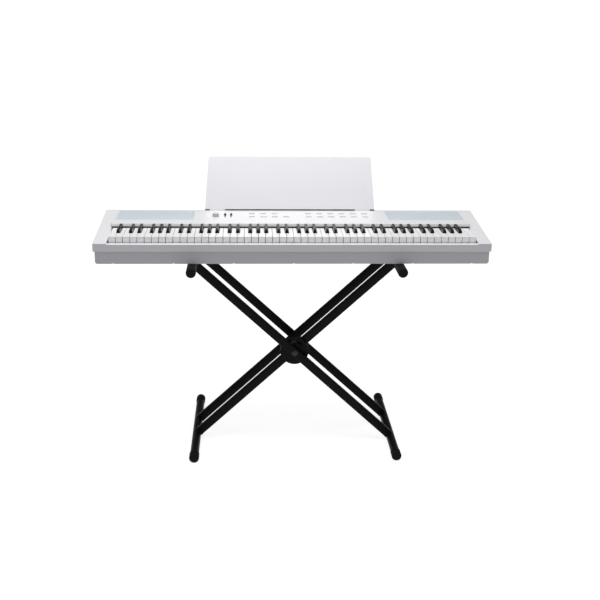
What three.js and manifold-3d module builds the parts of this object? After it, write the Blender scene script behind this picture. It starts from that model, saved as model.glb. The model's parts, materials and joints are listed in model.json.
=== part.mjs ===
// A slab digital piano resting on a folding X stand with double legs.
// Millimetres, +Z up. The origin is on the floor under the middle, and the player sits on the -Y side.
import * as THREE from "three";
import { mergeVertices } from "three/addons/utils/BufferGeometryUtils.js";
import Module from "manifold-3d";

const wasm = await Module();
wasm.setup();

// ---- Driving dimensions ----------------------------------------------------------------------
const gap = 0.3; // between pieces that touch
const runningGap = 0.6; // between pieces that slide or turn on each other

// Stand
const standOffsetX = 10; // the stand stands this far right of the piano's middle
const legLength = 951; // from the foot's axis to the arm's axis
const legAngle = THREE.MathUtils.degToRad(42.8); // of both legs to the floor
const legHeight = 29.5;
const legDepth = 20;
const legCorner = 4;
const legWall = 1.8;
const outerLegY = 92; // middle of each outer tube, in front of and behind the pivot
const innerLegY = 59;
const crossTubeRadius = 15; // of the feet and arms
const crossTubeWall = 1.8;
const footLength = 530;
const footCapRadius = 17;
const footCapLength = 44;
const footCapEdge = 6;
const footFlat = 0.4; // what the floor flat takes off a cap
const armLength = 446;
const armPadWall = 1.5;
const armPadEdge = 4;
const capVentRadius = 2;

// Pivot and height lock
const boltRadius = 5;
const boltHeadRadius = 11;
const boltHeadHeight = 5;
const spacerRadius = 9;
const hubRadius = 50;
const hubThickness = 7;
const pinRadius = 3;
const pinOrbit = 33; // from the pivot to the lock pin
const pinBite = 4.5; // how far the pin stands in the hub disc
const foldTravel = THREE.MathUtils.degToRad(43); // of one leg, from spread to folded
const lockKnobRadius = 12;
const lockKnobLength = 20;

// Piano case
const caseWidth = 1322;
const caseDepth = 350;
const caseMiddleY = 7; // the piano sits this far behind the stand's middle
const caseWall = 3;
const lowerHeight = 42;
const lowerInsetX = 6;
const lowerInsetY = 2;
const lowerCorner = 8;
const frontHeight = 69.1; // from the underside to the front of the cheeks
const slipDrop = 2.3; // key slip below the front of the cheeks
const slipDepth = 11;
const cheekRise = 38; // from the front of a cheek to its back
const cheekWidth = 45;
const panelFrontHeight = 32; // above the front of the cheeks
const panelBackHeight = 38;
const keyOpeningDepth = 146;
const fallboardThickness = 3;
const notchPitch = 199;
const notchCount = 7;
const notchSize = [9, 2.6]; // width and height, in the lower front edge

// Keys
const whitePitch = 23.5;
const whiteCount = 52;
const whiteGap = 1;
const whiteHeight = 28;
const whiteProud = 20.3; // above the front of the cheeks
const whiteHead = 49; // in front of the black keys
const keyFrontGap = 5; // from the key slip to the key fronts
const blackSlot = 13.7;
const blackBaseWidth = 12.2;
const blackTopWidth = 9.6;
const blackRise = 12;
const blackSink = 13; // sides below the white key tops
const blackNose = 7; // run of the sloping front
const tailHeight = 7;
const keyPivotDepth = 215; // behind the key fronts
const keyEndPastPivot = 3.5;
const railStart = 5; // behind the pivot
const railDepth = 10;
const fallboardLift = 2.2; // over the white keys

// Panel controls; each place is across from the middle and back from the case front
const buttonSize = [21, 8];
const buttonProud = 1.9;
const buttonFlange = 1;
const buttonFlangeHeight = 1.2;
const buttonTravel = 1.2;
const buttonPitch = 40.3;
const buttonRowBack = [296, 251];
const leftButtonStart = -138;
const rightButtonStart = 62;
const leftButtons = [3, 4]; // in the rear row and the front row
const rightButtons = [6, 6];
const volumePlace = [-266, 256];
const volumeRadius = 11.7;
const volumeHeight = 12;
const shaftRadius = 3;
const controlReach = 7; // below the panel's face
const sliderPlaces = [-233, -212];
const sliderBack = 273;
const sliderSlot = [3.2, 60];
const sliderCap = [8, 14, 6];
const sliderStem = [2.2, 8];
const grilleInner = 341;
const grilleSize = [269, 131];
const grilleFront = 206;
const grilleThickness = 1.3;
const grilleCorner = 3;
const speakerAcross = 475;
const speakerBack = 300;
const speakerRadius = 45;
const speakerDepth = 40;
const boardSize = [620, 72, 1.6];
const boardBack = 272;
const boardDrop = 9.5;

// Music rest
const restLean = THREE.MathUtils.degToRad(18);
const restThickness = 5;
const restBottomWidth = 614;
const restTopWidth = 588;
const restLift = 1.2; // lower edge above the panel, along the lean
const restHeight = 196; // top edge above the panel, along the lean
const restCorner = 7;
const restTabWidth = 54;
const restTabAcross = 263;
const restTabDepth = 30;
const restSlotBack = 343.5;
const restSlotReach = [4.3, 3.3]; // in front of and behind the middle of a tab

// Keybed
const keybedPlate = 4;
const keybedStart = 22;
const keybedPast = 12; // behind the key pivot
const keybedRail = 12;
const keybedGuide = 4;
const keybedPostSize = 12;
const keybedPostsAcross = [-520, 0, 520];

// ---- Worked-out places -----------------------------------------------------------------------
const halfCase = caseWidth / 2;
const caseFrontY = caseMiddleY - caseDepth / 2;
const footZ = footCapRadius - footFlat;
const halfLeg = legLength / 2;
const legHalfSpan = halfLeg * Math.cos(legAngle);
const pivotZ = footZ + halfLeg * Math.sin(legAngle);
const armZ = pivotZ + halfLeg * Math.sin(legAngle);
const armPadRadius = crossTubeRadius + gap + armPadWall;
const caseBottom = armZ + armPadRadius + gap;
const splitZ = caseBottom + lowerHeight;
const frontTop = caseBottom + frontHeight;
const slipTop = frontTop - slipDrop;
const panelFrontZ = frontTop + panelFrontHeight;
const panelBackZ = frontTop + panelBackHeight;
const keyTop = frontTop + whiteProud;
const keyBottom = keyTop - whiteHeight;
const halfOpening = halfCase - cheekWidth;
const openingBack = slipDepth + keyOpeningDepth;
const panelStart = openingBack + fallboardThickness + gap;
const panelTilt = Math.atan2(panelBackZ - panelFrontZ, caseDepth - panelStart);
const keyFront = slipDepth + keyFrontGap;
const keyPivotBack = keyFront + keyPivotDepth;
const keysLeft = (-whiteCount * whitePitch) / 2;

// ---- Shape helpers ---------------------------------------------------------------------------
const alongX = new THREE.Matrix4().set(0, 0, 1, 0, 1, 0, 0, 0, 0, 1, 0, 0, 0, 0, 0, 1);
const alongY = new THREE.Matrix4().set(1, 0, 0, 0, 0, 0, -1, 0, 0, 1, 0, 0, 0, 0, 0, 1);

function outline(points) {
  return new THREE.Shape(points.map(([x, y]) => new THREE.Vector2(x, y)));
}

function extruded(shape, depth, curveSegments = 4) {
  return new THREE.ExtrudeGeometry(shape, { depth, bevelEnabled: false, curveSegments });
}

// A prism along X from x0 to x1, of an outline drawn in Y and Z.
function prismX(shape, x0, x1, curveSegments) {
  return extruded(shape, x1 - x0, curveSegments).applyMatrix4(alongX).translate(x0, 0, 0);
}

// A prism along Y from y0 to y1, of an outline drawn in X and Z.
function prismY(shape, y0, y1, curveSegments) {
  return extruded(shape, y1 - y0, curveSegments).applyMatrix4(alongY).translate(0, y1, 0);
}

function block(x0, x1, y0, y1, z0, z1) {
  const box = new THREE.BoxGeometry(x1 - x0, y1 - y0, z1 - z0);
  return box.translate((x0 + x1) / 2, (y0 + y1) / 2, (z0 + z1) / 2);
}

function roundedRectangle(width, height, corner, kind = THREE.Shape) {
  const shape = new kind();
  const x = width / 2 - corner;
  const y = height / 2 - corner;
  shape.moveTo(-x, -y - corner);
  shape.absarc(x, -y, corner, -Math.PI / 2, 0);
  shape.absarc(x, y, corner, 0, Math.PI / 2);
  shape.absarc(-x, y, corner, Math.PI / 2, Math.PI);
  shape.absarc(-x, -y, corner, Math.PI, (3 * Math.PI) / 2);
  return shape;
}

// A solid of revolution round Y, from an outline of [radius, place along Y] points.
function turned(points, segments = 20) {
  return new THREE.LatheGeometry(points.map(([r, y]) => new THREE.Vector2(r, y)), segments);
}

// Points of a quarter arc round [radius, y], from one angle to another.
function quarter(radius, y, size, from, to, steps = 3) {
  return Array.from({ length: steps + 1 }, (_, i) => {
    const angle = from + ((to - from) * i) / steps;
    return [radius + size * Math.cos(angle), y + size * Math.sin(angle)];
  });
}

function cylinderY(radius, y0, y1, x, z, segments = 16) {
  return new THREE.CylinderGeometry(radius, radius, y1 - y0, segments).translate(x, (y0 + y1) / 2, z);
}

function solid(geometry) {
  const bare = geometry.clone();
  bare.deleteAttribute("normal");
  bare.deleteAttribute("uv");
  const merged = mergeVertices(bare, 1e-4);
  return new wasm.Manifold(
    new wasm.Mesh({
      numProp: 3,
      vertProperties: merged.attributes.position.array,
      triVerts: new Uint32Array(merged.index.array),
    }),
  );
}

function geometryOf(body) {
  const mesh = body.getMesh();
  const geometry = new THREE.BufferGeometry();
  geometry.setAttribute("position", new THREE.BufferAttribute(mesh.vertProperties, 3));
  geometry.setIndex(new THREE.BufferAttribute(mesh.triVerts, 1));
  return geometry;
}

function joined(...geometries) {
  return geometryOf(geometries.map(solid).reduce((sum, next) => sum.add(next)));
}

function cut(geometry, ...cutters) {
  return geometryOf(cutters.reduce((left, cutter) => left.subtract(solid(cutter)), solid(geometry)));
}

// ---- Materials -------------------------------------------------------------------------------
const material = (color, roughness, metalness = 0) =>
  new THREE.MeshStandardMaterial({ color, roughness, metalness });
const finish = {
  shell: () => material(0xf0f0f3, 0.35),
  underside: () => material(0xa9a9b2, 0.5),
  whiteKey: () => material(0xf7f7f4, 0.12),
  blackKey: () => material(0x08080a, 0.15),
  grille: () => material(0xbfcdd6, 0.55, 0.3),
  control: () => material(0xc9c9cd, 0.4),
  slider: () => material(0x2a2a2e, 0.45),
  frame: () => material(0x141416, 0.38, 0.5),
  rubber: () => material(0x111112, 0.8),
  steel: () => material(0x8d9094, 0.35, 0.9),
  chassis: () => material(0x77797d, 0.5, 0.8),
  board: () => material(0x14532d, 0.5),
  speaker: () => material(0x1c1c1f, 0.6),
};

const piano_on_stand = new THREE.Group();
const stand = new THREE.Group();
stand.position.set(standOffsetX, 0, 0);
const piano = new THREE.Group();
piano.position.set(0, caseFrontY, 0);
const panel = new THREE.Group();
panel.position.set(0, panelStart, panelFrontZ);
panel.rotation.set(panelTilt, 0, 0);
piano.add(panel);
piano_on_stand.add(stand, piano);

function piece(group, name, geometry, look) {
  const mesh = new THREE.Mesh(geometry, look());
  mesh.name = name;
  group.add(mesh);
  return mesh;
}

// ---- Stand -----------------------------------------------------------------------------------
// A foot: a tube with a thicker rounded cap on each end, vented, and a flat on each cap's underside.
function foot() {
  const end = footLength / 2;
  const tubeEnd = end - footCapLength;
  const bore = crossTubeRadius - crossTubeWall;
  const boreEnd = end - footCapEdge;
  const edge = footCapRadius - footCapEdge;
  const shape = turned([
    [capVentRadius, -end],
    ...quarter(edge, -end + footCapEdge, footCapEdge, -Math.PI / 2, 0),
    [footCapRadius, -tubeEnd],
    [crossTubeRadius, -tubeEnd],
    [crossTubeRadius, tubeEnd],
    [footCapRadius, tubeEnd],
    ...quarter(edge, end - footCapEdge, footCapEdge, 0, Math.PI / 2),
    [capVentRadius, end],
    [capVentRadius, boreEnd],
    [bore, boreEnd],
    [bore, -boreEnd],
    [capVentRadius, -boreEnd],
    [capVentRadius, -end],
  ]);
  const below = block(-footCapRadius, footCapRadius, -end, end, -footCapRadius * 2, -footZ);
  return cut(shape, below);
}

function arm() {
  const end = armLength / 2 - armPadEdge;
  const bore = crossTubeRadius - crossTubeWall;
  return turned([
    [bore, -end],
    [crossTubeRadius, -end],
    [crossTubeRadius, end],
    [bore, end],
    [bore, -end],
  ]);
}

// The sleeve over an arm, open below where the leg tubes reach it. The opening runs between two
// angles, measured from +X towards +Z.
function armPad(legY, from, to) {
  const end = armLength / 2;
  const inside = crossTubeRadius + gap;
  const bore = end - armPadEdge + gap;
  const edge = armPadRadius - armPadEdge;
  const sleeve = turned([
    [capVentRadius, -end],
    ...quarter(edge, -end + armPadEdge, armPadEdge, -Math.PI / 2, 0),
    ...quarter(edge, end - armPadEdge, armPadEdge, 0, Math.PI / 2),
    [capVentRadius, end],
    [capVentRadius, bore],
    [inside, bore],
    [inside, -bore],
    [capVentRadius, -bore],
    [capVentRadius, -end],
  ]);
  const reach = armPadRadius * 3;
  const steps = 4;
  const wedge = [[0, 0]];
  for (let i = 0; i <= steps; i++) {
    const angle = from + ((to - from) * i) / steps;
    wedge.push([reach * Math.cos(angle), reach * Math.sin(angle)]);
  }
  const half = legDepth / 2 + runningGap;
  const windows = [-legY, legY].map((y) => prismY(outline(wedge), y - half, y + half));
  return cut(sleeve, ...windows);
}

// One leg tube along its axis, coped round the foot and arm, with the pivot's hole and any pin holes.
function legTube(y, lean, holes) {
  const section = roundedRectangle(legHeight, legDepth, legCorner);
  const inner = [legHeight - 2 * legWall, legDepth - 2 * legWall, legCorner - legWall];
  section.holes.push(roundedRectangle(...inner, THREE.Path));
  const direction = new THREE.Vector3(Math.cos(lean), 0, Math.sin(lean));
  const across = new THREE.Vector3(0, 1, 0).cross(direction);
  const placed = new THREE.Matrix4().makeBasis(across, new THREE.Vector3(0, 1, 0), direction);
  const tube = extruded(section, legLength, 2).translate(0, 0, -halfLeg).applyMatrix4(placed);
  tube.translate(0, y, pivotZ);
  const y0 = y - legDepth;
  const y1 = y + legDepth;
  const ends = [-halfLeg, halfLeg].map((s) =>
    cylinderY(crossTubeRadius + gap, y0, y1, s * direction.x, pivotZ + s * direction.z, 20),
  );
  const drilled = holes.map(([r, s]) => cylinderY(r, y0, y1, s * direction.x, pivotZ + s * direction.z));
  return cut(tube, ...ends, ...drilled);
}

const outerLean = Math.PI - legAngle;
const innerLean = legAngle;
const boltHole = [boltRadius + runningGap, 0];
const pinHole = [pinRadius + runningGap / 2, pinOrbit];
piece(stand, "leg_outer_front", legTube(-outerLegY, outerLean, [boltHole]), finish.frame);
piece(stand, "leg_outer_rear", legTube(outerLegY, outerLean, [boltHole]), finish.frame);
piece(stand, "leg_inner_front", legTube(-innerLegY, innerLean, [boltHole, pinHole]), finish.frame);
piece(stand, "leg_inner_rear", legTube(innerLegY, innerLean, [boltHole]), finish.frame);

for (const [side, x] of [["left", -legHalfSpan], ["right", legHalfSpan]]) {
  piece(stand, "foot_" + side, foot(), finish.frame).position.set(x, 0, footZ);
  piece(stand, "arm_" + side, arm(), finish.frame).position.set(x, 0, armZ);
}

// The left sleeve stays level while its leg swings, so its windows also hold the leg's swing.
const legHalfAngle = Math.asin(legHeight / 2 / (crossTubeRadius + gap)) + THREE.MathUtils.degToRad(5);
const leftPad = armPad(outerLegY, -legAngle - foldTravel - legHalfAngle, -legAngle + legHalfAngle);
piece(stand, "arm_pad_left", leftPad, finish.rubber).position.set(-legHalfSpan, 0, armZ);
const downRight = Math.PI + legAngle;
const rightPad = armPad(innerLegY, downRight - legHalfAngle, downRight + legHalfAngle);
piece(stand, "arm_pad_right", rightPad, finish.rubber).position.set(legHalfSpan, 0, armZ);

// The pivot bolt, with its head in front, its nut behind and a spacer collar in each gap.
const outerFace = outerLegY + legDepth / 2;
const outerInside = outerLegY - legDepth / 2;
const innerFace = innerLegY + legDepth / 2;
const hubBack = -outerInside + gap + hubThickness;
const headStart = -outerFace - gap;
const pivotBolt = turned([
  [0, headStart - boltHeadHeight],
  [boltHeadRadius * 0.7, headStart - boltHeadHeight],
  [boltHeadRadius, headStart - boltHeadHeight / 2],
  [boltHeadRadius, headStart],
  [boltRadius, headStart],
  [boltRadius, hubBack + gap],
  [spacerRadius, hubBack + gap],
  [spacerRadius, -innerFace - gap],
  [boltRadius, -innerFace - gap],
  [boltRadius, innerFace + gap],
  [spacerRadius, innerFace + gap],
  [spacerRadius, outerInside - gap],
  [boltRadius, outerInside - gap],
  [boltRadius, outerFace + gap],
  [boltHeadRadius, outerFace + gap],
  [boltHeadRadius, outerFace + gap + boltHeadHeight],
  [0, outerFace + gap + boltHeadHeight],
], 14);
piece(stand, "pivot_bolt", pivotBolt, finish.steel).position.set(0, 0, pivotZ);

// The hub disc, with the arc slot that the lock pin follows as the legs close.
function hubDisc() {
  const disc = new THREE.Shape().absarc(0, 0, hubRadius, 0, Math.PI * 2);
  const bolt = new THREE.Path().absarc(0, 0, boltRadius + gap, 0, Math.PI * 2);
  const halfSlot = pinRadius + runningGap;
  const start = innerLean;
  const end = innerLean + 2 * foldTravel;
  const slot = new THREE.Path();
  slot.absarc(0, 0, pinOrbit + halfSlot, start, end);
  slot.absarc(pinOrbit * Math.cos(end), pinOrbit * Math.sin(end), halfSlot, end, end + Math.PI);
  slot.absarc(0, 0, pinOrbit - halfSlot, end, start, true);
  const [startX, startZ] = [pinOrbit * Math.cos(start), pinOrbit * Math.sin(start)];
  slot.absarc(startX, startZ, halfSlot, start + Math.PI, start + 2 * Math.PI);
  disc.holes.push(bolt, slot);
  return prismY(disc, hubBack - hubThickness, hubBack, 10);
}
piece(stand, "hub_disc", hubDisc(), finish.frame).position.set(0, 0, pivotZ);

// The lock knob with its pin, behind the inner front tube.
const knobStart = -innerLegY + legDepth / 2 + gap;
const lockKnob = turned([
  [0, hubBack - pinBite],
  [pinRadius, hubBack - pinBite],
  [pinRadius, knobStart],
  [lockKnobRadius * 0.75, knobStart],
  [lockKnobRadius * 0.75, knobStart + lockKnobLength * 0.4],
  [lockKnobRadius, knobStart + lockKnobLength * 0.5],
  [lockKnobRadius, knobStart + lockKnobLength * 0.9],
  [lockKnobRadius * 0.85, knobStart + lockKnobLength],
  [0, knobStart + lockKnobLength],
]);
const pinX = pinOrbit * Math.cos(innerLean);
const pinZ = pivotZ + pinOrbit * Math.sin(innerLean);
piece(stand, "lock_knob", lockKnob, finish.rubber).position.set(pinX, 0, pinZ);

// ---- Piano case ------------------------------------------------------------------------------
// Inside the piano's group Y counts back from the case front.
function bottomCase() {
  const half = halfCase - lowerInsetX;
  const tray = (inset) => {
    const shape = new THREE.Shape();
    const x = half - inset;
    const z = caseBottom + inset;
    const corner = lowerCorner - inset;
    const top = inset ? splitZ + 1 : splitZ;
    shape.moveTo(-x, top);
    shape.lineTo(-x, z + corner);
    shape.absarc(-x + corner, z + corner, corner, Math.PI, 1.5 * Math.PI);
    shape.absarc(x - corner, z + corner, corner, 1.5 * Math.PI, 2 * Math.PI);
    shape.lineTo(x, top);
    return prismY(shape, lowerInsetY + inset, caseDepth - lowerInsetY - inset);
  };
  const notches = Array.from({ length: notchCount }, (_, i) => {
    const x = (i - (notchCount - 1) / 2) * notchPitch;
    const [width, height] = notchSize;
    const back = lowerInsetY + caseWall - 1;
    return block(x - width / 2, x + width / 2, 0, back, caseBottom - 1, caseBottom + height);
  });
  const shell = cut(tray(0), tray(caseWall), ...notches);
  const posts = [keybedStart + keybedRail, keyPivotBack].flatMap((back) =>
    keybedPostsAcross.map((x) => {
      const half = keybedPostSize / 2;
      const foot = caseBottom + caseWall - 1;
      return block(x - half, x + half, back - half, back + half, foot, splitZ);
    }),
  );
  return joined(shell, ...posts);
}
piece(piano, "bottom_case", bottomCase(), finish.underside);

// A shape on the panel, moved from the panel's own frame into the piano's.
function onPanel(geometry) {
  return geometry.rotateX(panelTilt).translate(0, panelStart, panelFrontZ);
}

// The panel's own frame counts back from its front edge and up from its face.
const panelBack = (back) => back - panelStart;

const buttonPlaces = [];
for (const [side, start, counts] of [
  ["left", leftButtonStart, leftButtons],
  ["right", rightButtonStart, rightButtons],
]) {
  counts.forEach((count, row) => {
    for (let i = 0; i < count; i++) {
      const name = `button_${side}_${row ? "front" : "rear"}_${i + 1}`;
      buttonPlaces.push({ name, x: start + i * buttonPitch, y: panelBack(buttonRowBack[row]) });
    }
  });
}

function topCase() {
  const bottom = splitZ + gap;
  const inner = halfOpening + caseWall;
  const below = bottom - 1;
  const above = panelBackZ + 100;
  const back = caseDepth - caseWall;
  const shell = prismX(
    outline([[0, bottom], [caseDepth, bottom], [caseDepth, frontTop + cheekRise], [0, frontTop]]),
    -halfCase,
    halfCase,
  );
  const raised = prismX(
    outline([[panelStart, bottom], [caseDepth, bottom], [caseDepth, panelBackZ], [panelStart, panelFrontZ]]),
    -inner,
    inner,
  );
  const cheek = [
    [caseWall, below],
    [back, below],
    [back, frontTop + cheekRise - 1.4 * caseWall],
    [caseWall, frontTop - caseWall],
  ];
  const middle = [
    [slipDepth, below],
    [back, below],
    [back, panelBackZ - caseWall],
    [panelStart, panelFrontZ - caseWall],
    [panelStart, above],
    [-1, above],
    [-1, slipTop],
    [slipDepth, slipTop],
  ];
  const slip = [
    [caseWall, below],
    [slipDepth - caseWall, below],
    [slipDepth - caseWall, slipTop - caseWall],
    [caseWall, slipTop - caseWall],
  ];
  const cuts = [
    prismX(outline(cheek), -halfCase + caseWall, -inner),
    prismX(outline(cheek), inner, halfCase - caseWall),
    prismX(outline(middle), -halfOpening, halfOpening),
    prismX(outline(slip), -halfOpening, halfOpening),
  ];
  const deep = -2 * caseWall;
  for (const { x, y } of buttonPlaces) {
    const halfX = buttonSize[0] / 2 + gap;
    const halfY = buttonSize[1] / 2 + gap;
    cuts.push(onPanel(block(x - halfX, x + halfX, y - halfY, y + halfY, deep, 1)));
  }
  const shaftHole = new THREE.CylinderGeometry(shaftRadius + gap, shaftRadius + gap, 4 * caseWall, 16);
  shaftHole.rotateX(Math.PI / 2);
  cuts.push(onPanel(shaftHole.translate(volumePlace[0], panelBack(volumePlace[1]), 0)));
  for (const x of sliderPlaces) {
    const halfX = sliderSlot[0] / 2;
    const y = panelBack(sliderBack);
    const halfY = sliderSlot[1] / 2;
    cuts.push(onPanel(block(x - halfX, x + halfX, y - halfY, y + halfY, deep, 1)));
  }
  const slotY = panelBack(restSlotBack);
  const slotHalf = restTabWidth / 2 + gap;
  const [slotAhead, slotBehind] = restSlotReach;
  for (const middleX of [-restTabAcross, restTabAcross]) {
    const [left, right] = [middleX - slotHalf, middleX + slotHalf];
    cuts.push(onPanel(block(left, right, slotY - slotAhead, slotY + slotBehind, deep, 1)));
  }
  for (const side of [-1, 1]) {
    const recess = extruded(roundedRectangle(grilleSize[0] + 2 * gap, grilleSize[1] + 2 * gap, grilleCorner), 3);
    const middleX = side * (grilleInner + grilleSize[0] / 2);
    const middleY = panelBack(grilleFront + grilleSize[1] / 2);
    cuts.push(onPanel(recess.translate(middleX, middleY, -grilleThickness - gap)));
    const sound = new THREE.CylinderGeometry(speakerRadius * 0.85, speakerRadius * 0.85, 4 * caseWall, 24);
    sound.rotateX(Math.PI / 2);
    cuts.push(onPanel(sound.translate(side * speakerAcross, panelBack(speakerBack), 0)));
  }
  return cut(joined(shell, raised), ...cuts);
}
piece(piano, "top_case", topCase(), finish.shell);

const fallboard = block(
  -halfOpening + gap,
  halfOpening - gap,
  openingBack,
  openingBack + fallboardThickness,
  keyTop + fallboardLift,
  panelFrontZ,
);
piece(piano, "fallboard", fallboard, finish.shell);

// ---- Keys ------------------------------------------------------------------------------------
// Places inside one octave, from the left edge of its C: the white keys' edges and the black slots.
const whiteNames = ["c", "d", "e", "f", "g", "a", "b"];
const groups = [
  { first: 0, whites: 3 }, // c d e
  { first: 3, whites: 4 }, // f g a b
];
const slotsInOctave = groups.flatMap(({ first, whites }) => {
  const tail = (whites * whitePitch - (whites - 1) * blackSlot) / whites;
  return Array.from({ length: whites - 1 }, (_, i) => ({
    after: first + i,
    start: first * whitePitch + (i + 1) * tail + i * blackSlot,
  }));
});

// Every white key and every black slot of the keyboard, from its lowest A to its highest C.
const whites = [];
const blacks = [];
const octaveWhites = whiteNames.length;
for (let i = 0; i < whiteCount; i++) {
  const step = (i + octaveWhites - 2) % octaveWhites; // the keyboard starts on A
  const octave = Math.floor((i + octaveWhites - 2) / octaveWhites);
  const octaveStart = keysLeft + (i - step) * whitePitch;
  const slots = i === whiteCount - 1 ? [] : slotsInOctave;
  whites.push({ step, octave, left: keysLeft + i * whitePitch });
  const slot = slots.find(({ after }) => after === step);
  if (slot) blacks.push({ step, octave, left: octaveStart + slot.start });
}

function whiteKey({ left }, end) {
  const x0 = left + whiteGap / 2;
  const x1 = left + whitePitch - whiteGap / 2;
  const head = keyFront + whiteHead;
  const leftSlot = blacks.find((b) => b.left < x0 && b.left + blackSlot > x0);
  const rightSlot = blacks.find((b) => b.left < x1 && b.left + blackSlot > x1);
  const points = [[x0, keyFront], [x1, keyFront]];
  if (rightSlot) points.push([x1, head], [rightSlot.left, head], [rightSlot.left, end]);
  else points.push([x1, end]);
  if (leftSlot) {
    const edge = leftSlot.left + blackSlot;
    points.push([edge, end], [edge, head], [x0, head]);
  } else points.push([x0, end]);
  return extruded(outline(points), whiteHeight).translate(0, 0, keyBottom);
}

// A black key: a tapered cap with a sloping front, and a low tail that runs back to the pivot.
function blackKey({ left }, end) {
  const middle = left + blackSlot / 2;
  const front = keyFront + whiteHead + 1;
  const back = openingBack - 1.5;
  const bottom = keyTop - blackSink;
  const top = keyTop + blackRise;
  const base = blackBaseWidth / 2;
  const crown = blackTopWidth / 2;
  const section = outline([
    [middle - base, bottom],
    [middle + base, bottom],
    [middle + base, keyTop],
    [middle + crown, top],
    [middle - crown, top],
    [middle - base, keyTop],
  ]);
  const cap = prismY(section, front, back);
  const place = cap.attributes.position;
  for (let i = 0; i < place.count; i++) {
    if (place.getY(i) < front + 1 && place.getZ(i) > keyTop + 1) place.setY(i, front + blackNose);
  }
  const low = keyTop - 1.5 - tailHeight;
  const tail = block(middle - base, middle + base, back - 20, end, low, low + tailHeight);
  return joined(cap, tail);
}

const singleOctave = 4;
const singleEnd = keyPivotBack + keyEndPastPivot;
const railFront = keyPivotBack + railStart;
for (const key of whites.filter((k) => k.octave === singleOctave)) {
  const name = `key_${whiteNames[key.step]}${key.octave}`;
  piece(piano, name, whiteKey(key, singleEnd), finish.whiteKey);
}
for (const key of blacks.filter((k) => k.octave === singleOctave)) {
  const name = `key_${whiteNames[key.step]}${key.octave}_sharp`;
  piece(piano, name, blackKey(key, singleEnd), finish.blackKey);
}

// The other keys hang on one rail of whites and one of blacks.
const railHalf = -keysLeft - whiteGap / 2;
const otherWhites = whites.filter((k) => k.octave !== singleOctave);
const whiteRail = block(
  -railHalf,
  railHalf,
  railFront,
  railFront + railDepth,
  keyBottom,
  keyTop - 2 * tailHeight + 3,
);
const whiteBank = joined(whiteRail, ...otherWhites.map((k) => whiteKey(k, railFront + 1)));
piece(piano, "white_keys", whiteBank, finish.whiteKey);
const otherBlacks = blacks.filter((k) => k.octave !== singleOctave);
const blackRail = block(
  otherBlacks[0].left,
  otherBlacks[otherBlacks.length - 1].left + blackSlot,
  railFront + 2,
  railFront + railDepth,
  keyTop - 1.5 - tailHeight,
  keyTop - 1.5,
);
const blackBank = joined(blackRail, ...otherBlacks.map((k) => blackKey(k, railFront + 3)));
piece(piano, "black_keys", blackBank, finish.blackKey);

// The keybed: a plate with a front guide rail and the rear rail that the keys rock on.
const keybedBottom = splitZ + gap;
const keybedTop = keybedBottom + keybedPlate;
const keybedX = halfOpening - gap;
const keybedEnd = keyPivotBack + keybedPast;
const keybed = joined(
  block(-keybedX, keybedX, keybedStart, keybedEnd, keybedBottom, keybedTop),
  block(-keybedX, keybedX, keyFront + 20, keyFront + 20 + keybedRail, keybedTop - 1, keybedTop + keybedGuide),
  block(
    -keybedX,
    keybedX,
    keyPivotBack - keybedRail / 2,
    keyPivotBack + keybedRail / 2,
    keybedTop - 1,
    keyBottom - runningGap,
  ),
);
piece(piano, "keybed", keybed, finish.chassis);

// ---- Panel pieces, in the panel's own frame --------------------------------------------------
for (const { name, x, y } of buttonPlaces) {
  const cap = extruded(roundedRectangle(buttonSize[0], buttonSize[1], 1.5), buttonProud + caseWall + 1, 1);
  cap.translate(x, y, -caseWall - 1);
  const halfX = buttonSize[0] / 2 + buttonFlange;
  const halfY = buttonSize[1] / 2 + buttonFlange;
  const top = -caseWall - gap;
  const flange = block(x - halfX, x + halfX, y - halfY, y + halfY, top - buttonFlangeHeight, top);
  piece(panel, name, joined(cap, flange), finish.control);
}

const volumeKnob = turned([
  [0, -controlReach],
  [shaftRadius, -controlReach],
  [shaftRadius, runningGap],
  [volumeRadius, runningGap],
  [volumeRadius, volumeHeight - 2],
  [volumeRadius - 1.6, volumeHeight],
  [0, volumeHeight],
]);
volumeKnob.rotateX(Math.PI / 2);
const volumeAt = [volumePlace[0], panelBack(volumePlace[1]), 0];
piece(panel, "volume_knob", volumeKnob, finish.control).position.set(...volumeAt);

sliderPlaces.forEach((x, i) => {
  const [width, length, height] = sliderCap;
  const cap = block(-width / 2, width / 2, -length / 2, length / 2, runningGap, height);
  const [stemWidth, stemLength] = sliderStem;
  const stem = block(-stemWidth / 2, stemWidth / 2, -stemLength / 2, stemLength / 2, -controlReach, runningGap + 1);
  const shape = joined(cap, stem);
  piece(panel, `slider_${i + 1}`, shape, finish.slider).position.set(x, panelBack(sliderBack), 0);
});

function speaker() {
  const low = -caseWall - gap;
  const magnet = speakerRadius * 0.55;
  const shape = turned(
    [
      [0, low - speakerDepth],
      [magnet, low - speakerDepth],
      [magnet, low - speakerDepth * 0.6],
      [speakerRadius * 0.9, low - 4],
      [speakerRadius, low - 4],
      [speakerRadius, low],
      [speakerRadius * 0.8, low],
      [magnet * 0.7, low - speakerDepth * 0.45],
      [0, low - speakerDepth * 0.35],
    ],
    24,
  );
  return shape.rotateX(Math.PI / 2);
}

for (const [side, sign] of [["left", -1], ["right", 1]]) {
  const grille = extruded(roundedRectangle(grilleSize[0], grilleSize[1], grilleCorner), grilleThickness);
  const grilleX = sign * (grilleInner + grilleSize[0] / 2);
  const grilleY = panelBack(grilleFront + grilleSize[1] / 2);
  piece(panel, "grille_" + side, grille, finish.grille).position.set(grilleX, grilleY, -grilleThickness);
  const place = [sign * speakerAcross, panelBack(speakerBack), 0];
  piece(panel, "speaker_" + side, speaker(), finish.speaker).position.set(...place);
}

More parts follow.
